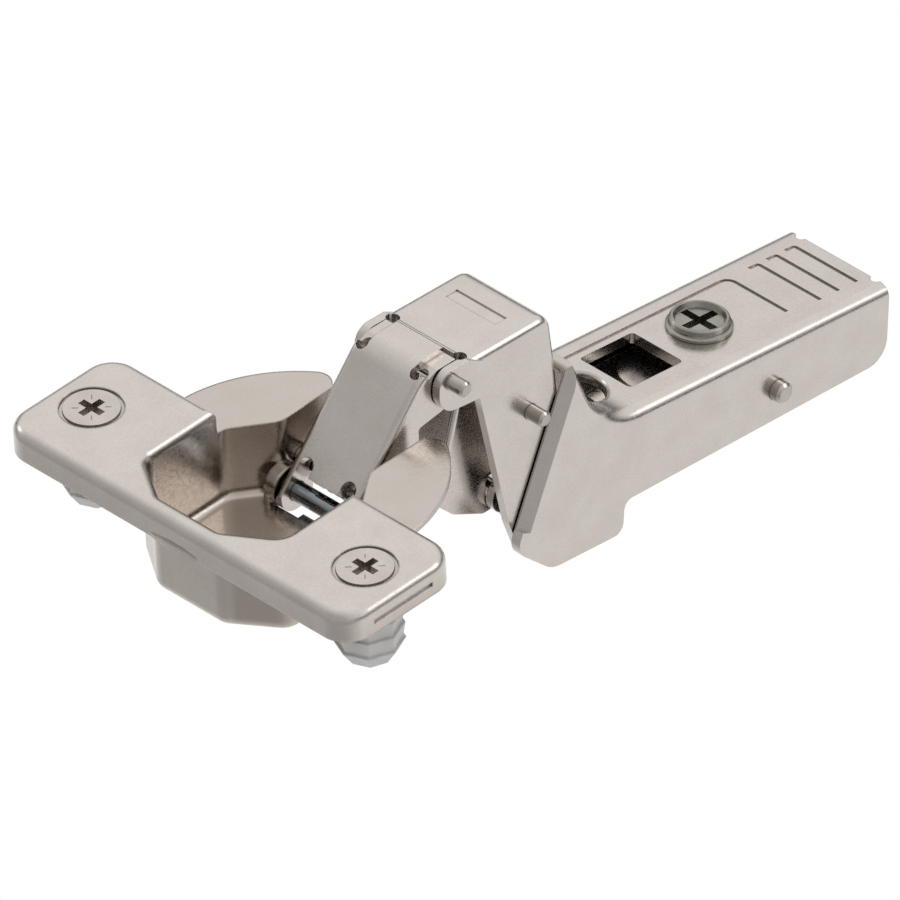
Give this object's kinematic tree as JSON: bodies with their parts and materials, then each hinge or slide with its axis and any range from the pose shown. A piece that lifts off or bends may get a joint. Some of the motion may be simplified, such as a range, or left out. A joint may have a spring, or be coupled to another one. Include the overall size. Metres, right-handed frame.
{
  "type": "concealed cup hinge",
  "caption": "Concealed cup hinge for an overlay cabinet door, with a folding link mechanism and a clip-on adjustable arm, shown open.",
  "frame": {"origin": "centre of the 35 mm cup bore, on the face of the door that the flange lies on", "axes": "+Z out of the door face, +X from the cup towards the cabinet arm, and the pins run along Y"},
  "size_m": [0.1091, 0.0572, 0.0381],
  "materials": {
    "nickel_sheet": "satin nickel plated sheet steel with a faint mottled texture",
    "polished_pin": "smooth bright steel pins",
    "zinc_screw": "satin plated screws, slightly greenish grey",
    "spring_wire": "drawn spring wire",
    "dowel_plastic": "pale grey slightly see-through moulded plastic"
  },
  "bodies": {
    "cup_body": {"cup": "nickel_sheet", "dowel_left": "dowel_plastic", "dowel_right": "dowel_plastic", "cup_screw_left": "zinc_screw", "cup_screw_right": "zinc_screw", "cup_axle_front": "polished_pin", "cup_axle_rear": "polished_pin", "closing_spring": "spring_wire"},
    "front_link_body": {"front_link": "nickel_sheet"},
    "bridge_body": {"bridge": "nickel_sheet", "bridge_front_pin": "polished_pin", "bridge_middle_pin": "polished_pin"},
    "inner_link_body": {"inner_link": "nickel_sheet"},
    "control_link_body": {"control_link_left": "nickel_sheet", "control_link_right": "nickel_sheet", "control_link_pin": "polished_pin"},
    "arm_body": {"arm": "nickel_sheet", "arm_front_pin": "polished_pin", "arm_lower_pin_left": "polished_pin", "arm_lower_pin_right": "polished_pin", "inner_bracket": "nickel_sheet", "clip_pin": "polished_pin", "clip_spring": "spring_wire"},
    "side_screw_body": {"side_adjust_screw": "zinc_screw"},
    "depth_screw_body": {"depth_adjust_screw": "zinc_screw", "depth_cam": "zinc_screw"},
    "clip_lever_body": {"clip_lever": "nickel_sheet"}
  },
  "joints": [
    {"name": "front_link_fold", "type": "hinge", "parent": "cup_body", "child": "front_link_body", "pos_m": [0.00562, 0, -0.00794], "axis": [0, -1, 0], "range_deg": [0, 106]},
    {"name": "bridge_fold", "type": "hinge", "parent": "front_link_body", "child": "bridge_body", "pos_m": [0.02022, 0, 0.00565], "axis": [0, -1, 0], "range_deg": [-7, 0]},
    {"name": "arm_swing", "type": "hinge", "parent": "bridge_body", "child": "arm_body", "pos_m": [0.04, 0, -0.02175], "axis": [0, -1, 0], "range_deg": [-1.2, 0]},
    {"name": "inner_link_fold", "type": "hinge", "parent": "cup_body", "child": "inner_link_body", "pos_m": [0.0092, 0, -0.006], "axis": [0, -1, 0], "range_deg": [0, 116.5]},
    {"name": "control_link_fold", "type": "hinge", "parent": "arm_body", "child": "control_link_body", "pos_m": [0.0336, 0, -0.024], "axis": [0, -1, 0], "range_deg": [-28, 0]},
    {"name": "side_screw_turn", "type": "hinge", "parent": "arm_body", "child": "side_screw_body", "pos_m": [0.04583, 0, -0.0175], "axis": [0.1352, 0, 0.9908], "range_deg": [-180, 180]},
    {"name": "depth_screw_turn", "type": "hinge", "parent": "arm_body", "child": "depth_screw_body", "pos_m": [0.06694, 0, -0.01735], "axis": [0.1352, 0, 0.9908], "range_deg": [-170, 170]},
    {"name": "clip_lever_press", "type": "hinge", "parent": "arm_body", "child": "clip_lever_body", "pos_m": [0.07096, 0, -0.02416], "axis": [0, -1, 0], "range_deg": [0, 9], "stiffness_Nm_per_rad": 0.3, "springref_deg": -5.73}
  ],
  "couplings": [
    {"joint": "bridge_fold", "follows": "front_link_fold", "ratio": -0.066038},
    {"joint": "arm_swing", "follows": "front_link_fold", "ratio": -0.011321},
    {"joint": "inner_link_fold", "follows": "front_link_fold", "ratio": 1.0991},
    {"joint": "control_link_fold", "follows": "front_link_fold", "ratio": -0.26415}
  ]
}
